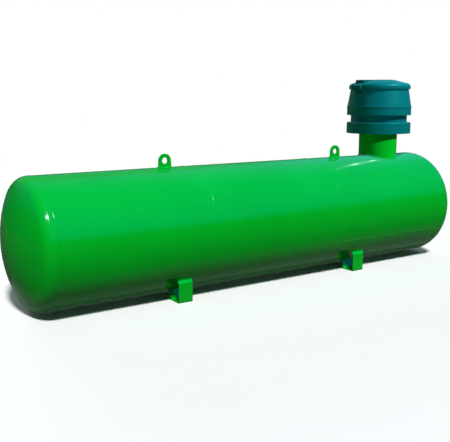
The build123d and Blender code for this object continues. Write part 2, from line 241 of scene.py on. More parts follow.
# Light, world and floor
light = {
    "tankSun": (-0.22, -0.57, 0.79),
    "coverSun": (0.275, -0.652, 0.707),
    "neckSun": (0.355, -0.842, 0.407),
    "backFill": (0.15, 0.975, 0.16),
    "distance": 12.0,
    "tankStrength": 3.45,
    "coverStrength": 3.2,
    "neckStrength": 3.7,
    "fillStrength": 1.3,
    "tankSpread": 7.5,
    "sunSpread": 3.0,
    "fillSpread": 40.0,
    "skyForDiffuse": (0.055, 0.065, 0.085),
}


def addSun(name, strength, spread, receivers=(), others=()):
    direction = Vector(light[name]).normalized()
    bpy.ops.object.light_add(type="SUN", location=direction * light["distance"])
    sun = bpy.context.object
    sun.name = name
    sun.rotation_euler = direction.to_track_quat("Z", "Y").to_euler()
    sun.data.energy = strength
    sun.data.angle = math.radians(spread)
    if not receivers and not others:
        return
    group = bpy.data.collections.new(name + "Reach")
    for piece in receivers or others:
        group.objects.link(piece)
    for item in group.collection_objects:
        item.light_linking.link_state = "INCLUDE" if receivers else "EXCLUDE"
    sun.light_linking.receiver_collection = group


def seenDirectly(tree):
    path = addNode(tree, "ShaderNodeLightPath")
    seen = mathOf(tree, "MAXIMUM", path.outputs["Is Camera Ray"], path.outputs["Is Glossy Ray"])
    return mathOf(tree, "MAXIMUM", seen, path.outputs["Is Transmission Ray"])


def seenOnlyInGloss(piece):
    piece.visible_camera = False
    piece.visible_diffuse = False
    piece.visible_shadow = False
    piece.visible_transmission = False


def addWorld():
    world = bpy.data.worlds.new("studioWhite")
    world.use_nodes = True
    bpy.context.scene.world = world
    tree = world.node_tree
    colour = mixOf(tree, seenDirectly(tree), light["skyForDiffuse"], white)
    tree.links.new(colour, tree.nodes["Background"].inputs["Color"])


floorLook = {
    "side": 120.0,
    "forDiffuse": (0.055, 0.11, 0.055),
    "roughness": 0.9,
    "gloss": 0.1,
    "fade": (5.0, 16.0),
}


# The floor fades into the white around it
def addFloor():
    bpy.ops.mesh.primitive_plane_add(size=floorLook["side"], location=(0, 0, 0))
    floor = bpy.context.object
    floor.name = "studioFloor"
    floor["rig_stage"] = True
    material, tree, shader, place = newMaterial("paleFloor")
    colour = mixOf(tree, seenDirectly(tree), floorLook["forDiffuse"], white)
    tree.links.new(colour, shader.inputs["Base Color"])
    shader.inputs["Roughness"].default_value = floorLook["roughness"]
    shader.inputs["Specular IOR Level"].default_value = floorLook["gloss"]
    fade = fadeOf(tree, lengthOf(tree, place), *floorLook["fade"])
    glow = addNode(tree, "ShaderNodeEmission")
    factor = mathOf(tree, "MULTIPLY", fade, seenDirectly(tree))
    showAs(tree, blendOf(tree, factor, shader, glow))
    floor.data.materials.append(material)


# The panels around the object, which only its gloss shows: overhead goes from the front to the back
panels = {
    "radius": 14.0,
    "segments": 48,
    "rings": 24,
    "lowest": -0.5,
    "overhead": (
        (0.10, (0.03, 1.4, 1.9)),
        (0.44, (0.02, 1.1, 1.1)),
        (0.80, (0.12, 0.5, 0.7)),
        (0.87, (0.09, 0.36, 0.25)),
    ),
    "left": (0.02, 0.42, 0.58),
    "leftFrom": (0.35, 0.75),
    "right": (0.03, 0.32, 0.8),
    "rightFrom": (0.62, 0.95),
    "rightDepth": (0.15, 0.40),
    "band": (0.015, 0.095, 0.06),
    "edge": 0.262,
    "edgeSoftness": 0.075,
}


def addPanels():
    bpy.ops.mesh.primitive_uv_sphere_add(
        segments=panels["segments"], ring_count=panels["rings"], radius=panels["radius"])
    dome = bpy.context.object
    dome.name = "studioPanels"
    dome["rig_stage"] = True
    bpy.ops.object.mode_set(mode="EDIT")
    bpy.ops.mesh.bisect(
        plane_co=(0, 0, panels["lowest"]), plane_no=(0, 0, -1), clear_outer=True)
    bpy.ops.object.mode_set(mode="OBJECT")
    seenOnlyInGloss(dome)
    material, tree, shader, place = newMaterial("panelLight")
    part = addNode(tree, "ShaderNodeSeparateXYZ", Vector=place)
    side = mathOf(tree, "DIVIDE", part.outputs["X"], panels["radius"])
    deep = mathOf(tree, "DIVIDE", part.outputs["Y"], panels["radius"])
    high = mathOf(tree, "DIVIDE", part.outputs["Z"], panels["radius"])
    fromFront = mathOf(tree, "MULTIPLY_ADD", deep, 0.5, 0.5)
    overhead = rampOf(tree, fromFront, panels["overhead"])
    toLeft = riseOf(tree, mathOf(tree, "MULTIPLY", side, -1.0), *panels["leftFrom"])
    around = mixOf(tree, toLeft, overhead, panels["left"])
    toRight = riseOf(tree, side, *panels["rightFrom"])
    inFront = fallOf(tree, deep, *panels["rightDepth"])
    around = mixOf(tree, mathOf(tree, "MULTIPLY", toRight, inFront), around, panels["right"])
    softness = panels["edgeSoftness"]
    above = riseOf(tree, high, panels["edge"] - softness, panels["edge"] + softness)
    colour = mixOf(tree, above, panels["band"], around)
    showAs(tree, addNode(tree, "ShaderNodeEmission", Color=colour))
    dome.data.materials.append(material)


# The dim ground under the tank, which only its gloss shows
skirt = {
    "side": 60.0,
    "height": 0.002,
    "glow": (0.05, 0.09, 0.06),
    "middle": 0.35,
    "beyondEnds": 2.75,
    "beyondSides": 0.45,
    "fade": (0.25, 0.65),
    "thinnest": 0.86,
}


def addSkirt():
    bpy.ops.mesh.primitive_plane_add(size=skirt["side"], location=(0, 0, skirt["height"]))
    sheet = bpy.context.object
    sheet.name = "studioSkirt"
    sheet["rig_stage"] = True
    seenOnlyInGloss(sheet)
    material, tree, shader, place = newMaterial("darkSkirt")
    part = addNode(tree, "ShaderNodeSeparateXYZ", Vector=place)
    along = mathOf(tree, "ABSOLUTE", mathOf(tree, "SUBTRACT", part.outputs["X"], skirt["middle"]))
    across = mathOf(tree, "ABSOLUTE", part.outputs["Y"])
    beyondEnd = mathOf(tree, "SUBTRACT", along, skirt["beyondEnds"])
    beyondSide = mathOf(tree, "SUBTRACT", across, skirt["beyondSides"])
    beyond = mathOf(tree, "MAXIMUM", beyondEnd, beyondSide)
    fade = fadeOf(tree, beyond, *skirt["fade"], lowest=skirt["thinnest"])
    clear = addNode(tree, "ShaderNodeBsdfTransparent")
    glow = addNode(tree, "ShaderNodeEmission", Color=(*skirt["glow"], 1.0))
    showAs(tree, blendOf(tree, fade, clear, glow))
    sheet.data.materials.append(material)


addWorld()
addFloor()
addPanels()
addSkirt()
print("light and floor ready")


# Finishes
paint = {
    "pale": (0.0, 0.48, 0.020),
    "dark": (0.0, 0.44, 0.017),
    "clouds": (1.1, 4.0),
    "between": (0.35, 0.65),
    "roughness": 0.13,
    "waves": (2.2, 1.0),
    "waveHeight": 0.003,
    "peel": (300.0, 1.0),
    "peelHeight": 0.00008,
    "glossTint": (0.20, 0.20, 0.30),
    "coat": 0.30,
    "coatRoughness": 0.05,
}


# The coat follows the plate's waves alone, so its highlights stay sharp
def tankPaint():
    material, tree, shader, place = mottled("tankPaint", paint)
    wavy = bumpOf(tree, noiseOf(tree, place, *paint["waves"]), paint["waveHeight"])
    peel = noiseOf(tree, place, *paint["peel"])
    surface = bumpOf(tree, peel, paint["peelHeight"], below=wavy)
    tree.links.new(surface, shader.inputs["Normal"])
    tree.links.new(wavy, shader.inputs["Coat Normal"])
    shader.inputs["Specular Tint"].default_value = (*paint["glossTint"], 1.0)
    shader.inputs["Coat Weight"].default_value = paint["coat"]
    shader.inputs["Coat Roughness"].default_value = paint["coatRoughness"]
    return material


plastic = {
    "glossTint": (0.05, 1.0, 0.95),
    "grain": (450.0, 2.0),
    "grainStrength": 0.6,
    "grainHeight": 0.0003,
}

coverLook = {
    "pale": (0.0, 0.19, 0.205),
    "dark": (0.0, 0.165, 0.18),
    "clouds": (6.0, 4.0),
    "between": (0.3, 0.7),
    "roughness": 0.45,
    "gloss": 0.55,
}

# Hinge plastic: the cover's teal made darker, as painted shade for the shade that the hinge stands
# in
shadedHingeLook = {
    "pale": (0.0, 0.15, 0.155),
    "dark": (0.0, 0.125, 0.13),
    "clouds": (25.0, 4.0),
    "between": (0.3, 0.7),
    "roughness": 0.42,
    "gloss": 0.3,
}


def tealPlastic(name, look):
    material, tree, shader, place = mottled(name, look)
    grain = noiseOf(tree, place, *plastic["grain"])
    surface = bumpOf(tree, grain, plastic["grainHeight"], plastic["grainStrength"])
    tree.links.new(surface, shader.inputs["Normal"])
    shader.inputs["Specular Tint"].default_value = (*plastic["glossTint"], 1.0)
    shader.inputs["Specular IOR Level"].default_value = look["gloss"]
    return material


steel = {
    "colour": (0.56, 0.57, 0.58),
    "grain": (160.0, 3.0),
    "smooth": (0.2, (0.25, 0.25, 0.25)),
    "rough": (0.8, (0.42, 0.42, 0.42)),
}


def platedSteel():
    material, tree, shader, place = newMaterial("platedSteel")
    shader.inputs["Base Color"].default_value = (*steel["colour"], 1.0)
    shader.inputs["Metallic"].default_value = 1.0
    grain = noiseOf(tree, place, *steel["grain"])
    roughness = rampOf(tree, grain, [steel["smooth"], steel["rough"]])
    tree.links.new(roughness, shader.inputs["Roughness"])
    return material


brassLook = {
    "pale": (0.78, 0.57, 0.24),
    "dark": (0.60, 0.41, 0.14),
    "clouds": (40.0, 4.0),
    "between": (0.3, 0.7),
    "roughness": 0.3,
}


def valveBrass():
    material, tree, shader, place = mottled("valveBrass", brassLook)
    shader.inputs["Metallic"].default_value = 1.0
    return material


wheelLook = {
    "pale": (0.55, 0.035, 0.025),
    "dark": (0.42, 0.02, 0.015),
    "clouds": (60.0, 3.0),
    "between": (0.3, 0.7),
    "roughness": 0.45,
}

pinLook = {
    "pale": (0.0, 0.11, 0.115),
    "dark": (0.0, 0.066, 0.069),
    "clouds": (120.0, 4.0),
    "between": (0.3, 0.7),
    "roughness": 0.4,
}

finishes = {
    "tank_paint": tankPaint(),
    "cover_shell": tealPlastic("coverPlastic", coverLook),
    "bright_steel": platedSteel(),
    "valve_brass": valveBrass(),
    "wheel_plastic": mottled("wheelPlastic", wheelLook)[0],
}

# The hinge block and bracket take the darker teal, which is painted shade
pieceFinishes = {
    "hinge_block": tealPlastic("shadedHingePlastic", shadedHingeLook),
    "hinge_pin": mottled("pinPaint", pinLook)[0],
}
pieceFinishes["hinge_bracket"] = pieceFinishes["hinge_block"]


def dressNodes():
    for name, node in nodes.items():
        node.data.materials.clear()
        node.data.materials.append(pieceFinishes.get(name, finishes[slotOf[name]]))


dressNodes()
print("finishes ready")


# Steps that pieces share. Distances within which points are merged, and angles under which
# faces are shaded as one
merging = {
    "frame": 0.00001,
    "piece": 0.00002,
    "row": 0.00005,
}

smoothing = {
    "usual": 35,
    "head": 30,
    "plate": 40,
    "bead": 80,
    "seal": 60,
    "shoulder": 22,
    "grip": 50,
}


def pickOnly(piece):
    if bpy.context.object and bpy.context.object.mode != "OBJECT":
        bpy.ops.object.mode_set(mode="OBJECT")
    bpy.ops.object.select_all(action="DESELECT")
    piece.select_set(True)
    bpy.context.view_layer.objects.active = piece


def editAll(piece):
    pickOnly(piece)
    bpy.ops.object.mode_set(mode="EDIT")
    bpy.ops.mesh.select_all(action="SELECT")


def shaped(name, scale=(1.0, 1.0, 1.0)):
    piece = bpy.context.object
    piece.name = name
    piece.scale = scale
    bpy.ops.object.transform_apply(location=True, rotation=True, scale=True)
    return piece


def settle(piece, body, slot, finish=None, angle=smoothing["usual"]):
    pickOnly(piece)
    bpy.ops.object.transform_apply(location=True, rotation=True, scale=True)
    bpy.ops.object.shade_smooth_by_angle(angle=math.radians(angle))
    piece.data.materials.clear()
    piece.data.materials.append(finish or finishes[slot])
    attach(piece, body)


def joinPieces(pieces, name):
    pickOnly(pieces[0])
    for piece in pieces:
        piece.select_set(True)
    if len(pieces) > 1:
        bpy.ops.object.join()
    joined = bpy.context.object
    joined.name = name
    return joined


def copyOf(piece, name):
    copied = piece.copy()
    copied.data = piece.data.copy()
    copied.name = name
    bpy.context.scene.collection.objects.link(copied)
    return copied


def repeated(piece, places, name):
    copies = [piece] + [copyOf(piece, name) for place in places[1:]]
    for copied, place in zip(copies, places):
        copied.matrix_world = place
    return joinPieces(copies, name)


def faceOut(piece):
    editAll(piece)
    bpy.ops.mesh.remove_doubles(threshold=merging["piece"])
    bpy.ops.mesh.normals_make_consistent(inside=False)
    bpy.ops.object.mode_set(mode="OBJECT")


def bevelEdges(piece, width, sharperThan, segments):
    pickOnly(piece)
    edges = piece.modifiers.new("edges", "BEVEL")
    edges.width = width
    edges.segments = segments
    edges.limit_method = "ANGLE"
    edges.angle_limit = math.radians(sharperThan)
    bpy.ops.object.modifier_apply(modifier="edges")


# The section of a ring, drawn upright in the plane of X and Z
def sectionCircle(name, sides, radius, location, scale=(1.0, 1.0, 1.0)):
    bpy.ops.object.select_all(action="DESELECT")
    bpy.ops.mesh.primitive_circle_add(
        vertices=sides, radius=radius, location=location, rotation=(quarterTurn, 0, 0))
    return shaped(name, scale)


def spinShut(piece, steps, centre=(0, 0, 0), axis=(0, 0, 1)):
    editAll(piece)
    bpy.ops.mesh.spin(steps=steps, angle=fullTurn, center=centre, axis=axis)
    bpy.ops.object.mode_set(mode="OBJECT")
    faceOut(piece)


# Plates and mouldings, with their edges rounded, and heads that are shaded smooth
roundedEdges = {
    "front_left_foot": 0.0022,
    "front_right_foot": 0.0022,
    "rear_left_foot": 0.0022,
    "rear_right_foot": 0.0022,
    "left_lifting_lug": 0.0020,
    "right_lifting_lug": 0.0020,
    "cover_collar": 0.0025,
    "cover_sleeve": 0.0012,
    "cover_body": 0.0025,
    "cover_lid": 0.0016,
    "hinge_block": 0.0020,
    "hinge_bracket": 0.0015,
    "lid_lock_ear": 0.0012,
    "body_lock_ear": 0.0012,
    "closing_plate": 0.0020,
    "neck_flange": 0.0020,
}

rounding = {
    "flatWithin": 0.5,
    "sharperThan": 32,
    "segments": 2,
    "weight": 90,
}


def mergedCopy(name, ending):
    piece = bpy.data.objects.new(name + ending, nodes[name].data.copy())
    bpy.context.scene.collection.objects.link(piece)
    editAll(piece)
    bpy.ops.mesh.remove_doubles(threshold=merging["frame"])
    bpy.ops.mesh.customdata_custom_splitnormals_clear()
    bpy.ops.object.mode_set(mode="OBJECT")
    return piece


def smoothHead(name):
    piece = mergedCopy(name, "_smoothed")
    settle(piece, nodes[name]["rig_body"], slotOf[name], angle=smoothing["head"])
    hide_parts(name)


def roundEdges(name, width):
    node = nodes[name]
    piece = mergedCopy(name, "_rounded")
    editAll(piece)
    bpy.ops.mesh.dissolve_limited(angle_limit=math.radians(rounding["flatWithin"]))
    bpy.ops.object.mode_set(mode="OBJECT")
    bevelEdges(piece, width, rounding["sharperThan"], rounding["segments"])
    finish = pieceFinishes.get(name)
    settle(piece, node["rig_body"], slotOf[name], finish, angle=smoothing["plate"])
    evened = piece.modifiers.new("evened", "WEIGHTED_NORMAL")
    evened.keep_sharp = True
    evened.weight = rounding["weight"]
    bpy.ops.object.modifier_apply(modifier="evened")
    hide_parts(name)


for name, width in roundedEdges.items():
    roundEdges(name, width)
for name in ("left_head", "right_head"):
    smoothHead(name)
print("edges rounded")


# Weld beads with their ripples
bead = {
    "halfWidth": 0.008,
    "halfHeight": 0.0029,
    "sink": 0.0004,
    "pitch": 0.007,
    "dip": 0.0008,
    "bow": 0.0035,
    "sides": 8,
}

saddle = {
    "sides": 10,
    "radius": 0.0105,
    "out": 0.003,
    "dip": 0.92,
}


def ringBead(name):
    x = middleOf(name).x
    steps = 2 * round(fullTurn * tankRadius / bead["pitch"])
    place = (x, 0, axisZ + tankRadius - bead["sink"])
    scale = (bead["halfWidth"], bead["halfHeight"], 1)
    piece = sectionCircle(name + "_rippled", bead["sides"], 1.0, place, scale)
    spinShut(piece, steps, centre=(x, 0, axisZ), axis=(1, 0, 0))
    for vertex in piece.data.vertices:
        place = vertex.co
        turn = math.atan2(place.y, place.z - axisZ)
        out = math.hypot(place.y, place.z - axisZ)
        across = min(1.0, abs(place.x - x) / bead["halfWidth"])
        if round(turn / fullTurn * steps) % 2 and out > tankRadius:
            out -= bead["dip"]
        turn += bead["bow"] * (1 - across ** 2) / tankRadius
        place.y = out * math.sin(turn)
        place.z = axisZ + out * math.cos(turn)
    settle(piece, "tank", "tank_paint", angle=smoothing["bead"])
    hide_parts(name)


# A long bead is a row of ripples on the tank's top line, turned to its own place at the end
def longBead(name):
    low, high = boxOf(name)
    centre = (low + high) / 2
    turn = math.atan2(centre.y, centre.z - axisZ)
    count = round((high.x - low.x) / bead["pitch"])
    pitch = (high.x - low.x) / count
    bpy.ops.object.select_all(action="DESELECT")
    bpy.ops.mesh.primitive_circle_add(
        vertices=bead["sides"],
        radius=1.0,
        location=(low.x, 0, tankRadius - bead["sink"]),
        rotation=(quarterTurn, 0, quarterTurn),
    )
    piece = shaped(name + "_rippled", (bead["halfWidth"], bead["halfHeight"], 1))
    editAll(piece)
    for drop in (-bead["dip"], bead["dip"]):
        move = (pitch / 2, 0, drop)
        bpy.ops.mesh.extrude_region_move(TRANSFORM_OT_translate={"value": move})
    bpy.ops.object.mode_set(mode="OBJECT")
    row = piece.modifiers.new("row", "ARRAY")
    row.count = count
    row.use_relative_offset = False
    row.use_constant_offset = True
    row.constant_offset_displace = (pitch, 0, 0)
    row.use_merge_vertices = True
    row.merge_threshold = merging["row"]
    bpy.ops.object.modifier_apply(modifier="row")
    bpy.ops.object.mode_set(mode="EDIT")
    bpy.ops.mesh.select_all(action="DESELECT")
    bpy.ops.mesh.select_mode(type="EDGE")
    bpy.ops.mesh.select_non_manifold()
    bpy.ops.mesh.edge_face_add()
    bpy.ops.object.mode_set(mode="OBJECT")
    faceOut(piece)
    piece.data.transform(Matrix.Translation((0, 0, axisZ)) @ Matrix.Rotation(-turn, 4, "X"))
    settle(piece, "tank", "tank_paint", angle=smoothing["bead"])
    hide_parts(name)


def saddleBead(name):
    middle = neckRadius + saddle["out"]
    level = axisZ + tankRadius + saddle["out"]
    steps = 2 * round(fullTurn * middle / bead["pitch"])
    place = (neckX + middle, 0, level)
    piece = sectionCircle(name + "_rippled", saddle["sides"], saddle["radius"], place)
    spinShut(piece, steps, centre=(neckX, 0, 0))
    for vertex in piece.data.vertices:
        place = vertex.co
        turn = math.atan2(place.y, place.x - neckX)
        if round(turn / fullTurn * steps) % 2:
            away = math.hypot(place.x - neckX, place.y) - middle
            reach = middle + away * saddle["dip"]
            place.x = neckX + reach * math.cos(turn)
            place.y = reach * math.sin(turn)
            place.z = level + (place.z - level) * saddle["dip"]
        place.z += math.sqrt(tankRadius ** 2 - place.y ** 2) - tankRadius
    settle(piece, "tank", "tank_paint", angle=smoothing["bead"])
    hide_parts(name)


for name in ("left_head_weld", "left_course_weld", "right_course_weld", "right_head_weld"):
    ringBead(name)
for name in ("left_seam_weld", "middle_seam_weld", "right_seam_weld"):
    longBead(name)
saddleBead("neck_weld")
print("welds rippled")


# Turned pieces, drawn from one point as half a section and spun about their own axis
turning = {
    "seed": 0.001,
    "threadDepth": 0.55,
}


def turned(name, section, steps=48):
    bpy.ops.object.select_all(action="DESELECT")
    start = (section[0][0], 0, section[0][1])
    bpy.ops.mesh.primitive_plane_add(size=turning["seed"], location=start)
    piece = shaped(name)
    editAll(piece)
    bpy.ops.mesh.select_mode(type="VERT")
    bpy.ops.mesh.select_all(action="SELECT")
    bpy.ops.mesh.merge(type="CENTER")
    for start, end in zip(section, section[1:]):
        move = (end[0] - start[0], 0, end[1] - start[1])
        bpy.ops.mesh.extrude_region_move(TRANSFORM_OT_translate={"value": move})
    spinShut(piece, steps)
    return piece


def threaded(radius, low, high, pitch):
    section = []
    turns = round((high - low) / pitch)
    for turn in range(turns):
        z = low + turn * (high - low) / turns
        section += [(radius, z), (radius - turning["threadDepth"] * pitch, z + pitch / 2)]
    return section + [(radius, high)]


hexagon = {
    "sharperThan": 75,
    "segments": 2,
}


def hexBar(name, flats, low, high, chamfer):
    bpy.ops.object.select_all(action="DESELECT")
    bpy.ops.mesh.primitive_cylinder_add(
        vertices=6,
        radius=flats / math.sqrt(3),
        depth=high - low,
        location=(0, 0, (low + high) / 2),
    )
    piece = shaped(name)
    bevelEdges(piece, chamfer, hexagon["sharperThan"], hexagon["segments"])
    return piece


def aboutNeck(radius, angle, z, turn=0.0):
    spot = (neckX + radius * math.cos(angle), radius * math.sin(angle), z)
    return Matrix.Translation(spot) @ Matrix.Rotation(angle + turn, 4, "Z")


# Bolts of the closing plate
bolts = {
    "count": 16,
    "circle": 0.268,
    "firstAngle": 11.25,
    "turnOfEach": 0.7,
    "washer": ((0, 0), (0.0185, 0), (0.0185, 0.0024), (0.0179, 0.003), (0, 0.003)),
    "washerTop": 0.003,
    "washerSteps": 32,
    "nutFlats": 0.030,
    "nutTop": 0.021,
    "nutChamfer": 0.0016,
    "studRadius": 0.010,
    "studTop": 0.031,
    "studEnd": 0.002,
    "studSteps": 24,
    "pitch": 0.002,
}


def addBolts():
    plateTop = boxOf("closing_plate")[1].z
    washer = turned("washer", bolts["washer"], bolts["washerSteps"])
    nut = hexBar("nut", bolts["nutFlats"], bolts["washerTop"], bolts["nutTop"],
                 bolts["nutChamfer"])
    radius = bolts["studRadius"]
    pitch = bolts["pitch"]
    top = bolts["studTop"]
    thread = threaded(radius, bolts["nutTop"] - pitch, top - pitch, pitch)
    section = [(0, bolts["washerTop"])] + thread + [(radius - bolts["studEnd"], top), (0, top)]
    stud = turned("stud", section, bolts["studSteps"])
    bolt = joinPieces([washer, nut, stud], "flangeBolts")
    places = []
    for index in range(bolts["count"]):
        angle = math.radians(bolts["firstAngle"] + index * 360 / bolts["count"])
        turn = index * bolts["turnOfEach"]
        places.append(aboutNeck(bolts["circle"], angle, plateTop, turn))
    settle(repeated(bolt, places, "flangeBolts"), "tank", "bright_steel")


addBolts()


# Screws of the hinge's pad
screws = {
    "faceX": 1.552,
    "spots": ((-0.038, 2.040), (0.038, 2.040), (-0.038, 2.010), (0.038, 2.010)),
    "section": (
        (0, -0.001),
        (0.0072, -0.001),
        (0.0072, 0.0012),
        (0.0062, 0.0030),
        (0.0040, 0.0038),
        (0.0024, 0.0038),
        (0.0024, 0.0018),
        (0, 0.0018),
    ),
    "steps": 24,
}


def addScrews():
    screw = turned("hingeScrews", screws["section"], screws["steps"])
    level = Matrix.Rotation(-quarterTurn, 4, "Y")
    places = [Matrix.Translation((screws["faceX"], y, z)) @ level for y, z in screws["spots"]]
    piece = repeated(screw, places, "hinge_screws")
    settle(piece, "tank", "bright_steel", pieceFinishes["hinge_pin"])


addScrews()


# Seal of the lid
seal = {
    "radius": 0.3255,
    "z": 2.0870,
    "thickness": 0.0035,
    "squash": 0.8,
    "sides": 12,
    "steps": 128,
}

rubberLook = {
    "pale": (0.025, 0.025, 0.027),
    "dark": (0.012, 0.012, 0.013),
    "clouds": (50.0, 3.0),
    "between": (0.3, 0.7),
    "roughness": 0.7,
}


def addSeal():
    place = (neckX + seal["radius"], 0, seal["z"])
    scale = (1.0, seal["squash"], 1.0)
    piece = sectionCircle("lid_seal", seal["sides"], seal["thickness"], place, scale)
    spinShut(piece, seal["steps"], centre=(neckX, 0, 0))
    rubber = mottled("sealRubber", rubberLook)[0]
    settle(piece, "lid", "wheel_plastic", rubber, angle=smoothing["seal"])


# Moulded shoulder of the cover, under its taper
shoulder = {
    "section": (
        (0.3740, 1.8660),
        (0.3772, 1.8660),
        (0.3848, 1.8578),
        (0.3856, 1.8552),
        (0.3852, 1.8500),
        (0.3808, 1.8000),
        (0.3740, 1.8000),
        (0.3740, 1.8660),
    ),
    "steps": 128,
}


def addShoulder():
    piece = turned("cover_line", shoulder["section"], shoulder["steps"])
    piece.location = (neckX, 0, 0)
    settle(piece, "tank", "cover_shell", angle=smoothing["shoulder"])


addSeal()
addShoulder()


# Handwheels with a wavy grip
wheelShape = {
    "radius": 0.0332,
    "rim": 0.0047,
    "rimSteps": (80, 12),
    "waves": 10,
    "waveHeight": 0.0010,
    "hub": (
        (0, -0.0050),
        (0.0105, -0.0050),
        (0.0105, 0.0035),
        (0.0090, 0.0052),
        (0.0060, 0.0058),
        (0, 0.0058),
    ),
    "hubSteps": 32,
    "spokes": 3,
    "spokeSides": 12,
    "spokeCuts": 2,
    "spokeSize": (0.0058, 0.0042),
    "spokeSag": 0.0012,
    "spokeWidths": (1.25, 0.4),
    "nutFlats": 0.0095,
    "nutFrom": 0.0048,
    "nutTop": 0.0095,
    "nutChamfer": 0.0006,
}


def addRim():
    radius = wheelShape["radius"]
    bpy.ops.object.select_all(action="DESELECT")
    bpy.ops.mesh.primitive_torus_add(
        major_segments=wheelShape["rimSteps"][0],
        minor_segments=wheelShape["rimSteps"][1],
        major_radius=radius,
        minor_radius=wheelShape["rim"],
    )
    rim = bpy.context.object
    for vertex in rim.data.vertices:
        out = math.hypot(vertex.co.x, vertex.co.y)
        turn = math.atan2(vertex.co.y, vertex.co.x)
        grip = max(0.0, out - radius) / wheelShape["rim"]
        reach = out + wheelShape["waveHeight"] * grip * math.cos(turn * wheelShape["waves"])
        vertex.co.x = reach * math.cos(turn)
        vertex.co.y = reach * math.sin(turn)
    return rim


def addSpokes():
    radius = wheelShape["radius"]
    width, height = wheelShape["spokeSize"]
    widest, narrowing = wheelShape["spokeWidths"]
    bpy.ops.object.select_all(action="DESELECT")
    bpy.ops.mesh.primitive_cylinder_add(
        vertices=wheelShape["spokeSides"],
        radius=0.5,
        depth=radius,
        location=(radius / 2, 0, 0),
        rotation=(0, quarterTurn, 0),
    )
    spoke = shaped("spoke", (height, width, 1.0))
    editAll(spoke)
    bpy.ops.mesh.subdivide(number_cuts=wheelShape["spokeCuts"])
    bpy.ops.object.mode_set(mode="OBJECT")
    for vertex in spoke.data.vertices:
        middle = 1 - abs(vertex.co.x / radius - 0.5) * 2
        vertex.co.z -= wheelShape["spokeSag"] * middle
        vertex.co.y *= widest - narrowing * vertex.co.x / radius
    turns = [fullTurn * index / wheelShape["spokes"] for index in range(wheelShape["spokes"])]
    return repeated(spoke, [Matrix.Rotation(turn, 4, "Z") for turn in turns], "spokes")


def addWheel(name):
    centre = middleOf(name)
    rim = addRim()
    hub = turned("hub", wheelShape["hub"], wheelShape["hubSteps"])
    wheel = joinPieces([rim, hub, addSpokes()], name + "_moulded")
    wheel.location = centre
    settle(wheel, "tank", slotOf[name], angle=smoothing["grip"])
    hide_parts(name)
    nut = hexBar(name + "_nut", wheelShape["nutFlats"], wheelShape["nutFrom"],
                 wheelShape["nutTop"], wheelShape["nutChamfer"])
    nut.location = centre
    settle(nut, "tank", "bright_steel")


for name in ("gas_valve_wheel", "liquid_valve_wheel"):
    addWheel(name)


# Gland nuts of the two valves, and the grips of the filling cap and of the valves' outlets
fittings = {
    "circle": 0.150,
    "valveAngles": (180, 270),
    "glandFlats": 0.026,
    "glandZ": 1.7370,
    "glandHeight": 0.0110,
    "glandChamfer": 0.001,
    "cap": (0.0362, 0.0012, 24),
    "capZ": 1.7200,
    "capHeight": 0.0300,
    "outlet": (0.0192, 0.0008, 20),
    "outletZ": 1.705,
    "outletFrom": 0.194,
    "outletLength": 0.016,
}

flutes = {
    "sides": 6,
    "bevel": 0.5,
    "sharperThan": 60,
}


def addGlands():
    glands = []
    for angle in fittings["valveAngles"]:
        gland = hexBar("gland", fittings["glandFlats"], 0, fittings["glandHeight"],
                       fittings["glandChamfer"])
        turn = math.radians(angle)
        gland.matrix_world = aboutNeck(fittings["circle"], turn, fittings["glandZ"])
        glands.append(gland)
    settle(joinPieces(glands, "glandNuts"), "tank", "valve_brass")


def fluted(name, radius, depth, count, height):
    bpy.ops.object.select_all(action="DESELECT")
    bpy.ops.mesh.primitive_cylinder_add(
        vertices=count * flutes["sides"],
        radius=radius,
        depth=height,
        location=(0, 0, height / 2),
    )
    piece = shaped(name)
    for vertex in piece.data.vertices:
        turn = math.atan2(vertex.co.y, vertex.co.x)
        reach = radius + depth * (0.5 + 0.5 * math.cos(turn * count))
        vertex.co.x = reach * math.cos(turn)
        vertex.co.y = reach * math.sin(turn)
    bevelEdges(piece, depth * flutes["bevel"], flutes["sharperThan"], 1)
    return piece


def addGrips():
    grip = fluted("capGrip", *fittings["cap"], fittings["capHeight"])
    grip.matrix_world = aboutNeck(fittings["circle"], 0, fittings["capZ"])
    settle(grip, "tank", slotOf["filling_valve"], angle=smoothing["grip"])
    outlets = []
    for angle in fittings["valveAngles"]:
        knurl = fluted("knurl", *fittings["outlet"], fittings["outletLength"])
        spot = aboutNeck(fittings["outletFrom"], math.radians(angle), fittings["outletZ"])
        knurl.matrix_world = spot @ Matrix.Rotation(quarterTurn, 4, "Y")
        outlets.append(knurl)
    grips = joinPieces(outlets, "outletGrips")
    settle(grips, "tank", slotOf["gas_valve"], angle=smoothing["grip"])


addGlands()
addGrips()


# Dial of the contents gauge, with a number at every fourth mark from the third
dial = {
    "faceZ": 1.657,
    "face": ((0, 0), (0.0385, 0), (0.0385, 0.0006), (0.0381, 0.0008), (0, 0.0008)),
    "markZ": 1.6578,
    "tickFrom": 0.0300,
    "tickSize": (0.0045, 0.0009, 0.0003),
    "tickBevel": 0.0001,
    "ticks": 19,
    "firstAngle": 225,
    "sweep": 270,
    "numbers": ("10", "30", "50", "70", "90"),
    "firstNumber": 2,
    "numberStep": 4,
    "numberSize": 0.0075,
    "numberDepth": 0.00015,
    "numberRadius": 0.0235,
    "reading": 0.32,
    "needle": (0.0012, 0.030),
    "needleMiddle": 0.009,
    "needleTip": 0.3,
    "boss": ((0, -0.0005), (0.0032, -0.0005), (0.0032, 0.0008), (0.0024, 0.0014), (0, 0.0014)),
    "bossSteps": 24,
    "pointerZ": 1.6585,
    "glassZ": 1.6594,
    "glass": ((0, 0), (0.0388, 0), (0.0388, 0.0008), (0.0360, 0.0012), (0, 0.0013)),
    "bezelZ": 1.6580,
    "bezel": (
        (0.0386, 0.0),
        (0.0386, 0.0030),
        (0.0400, 0.0042),
        (0.0432, 0.0042),
        (0.0439, 0.0030),
        (0.0439, 0.0),
        (0.0386, 0.0),
    ),
    "bezelSteps": 64,
}

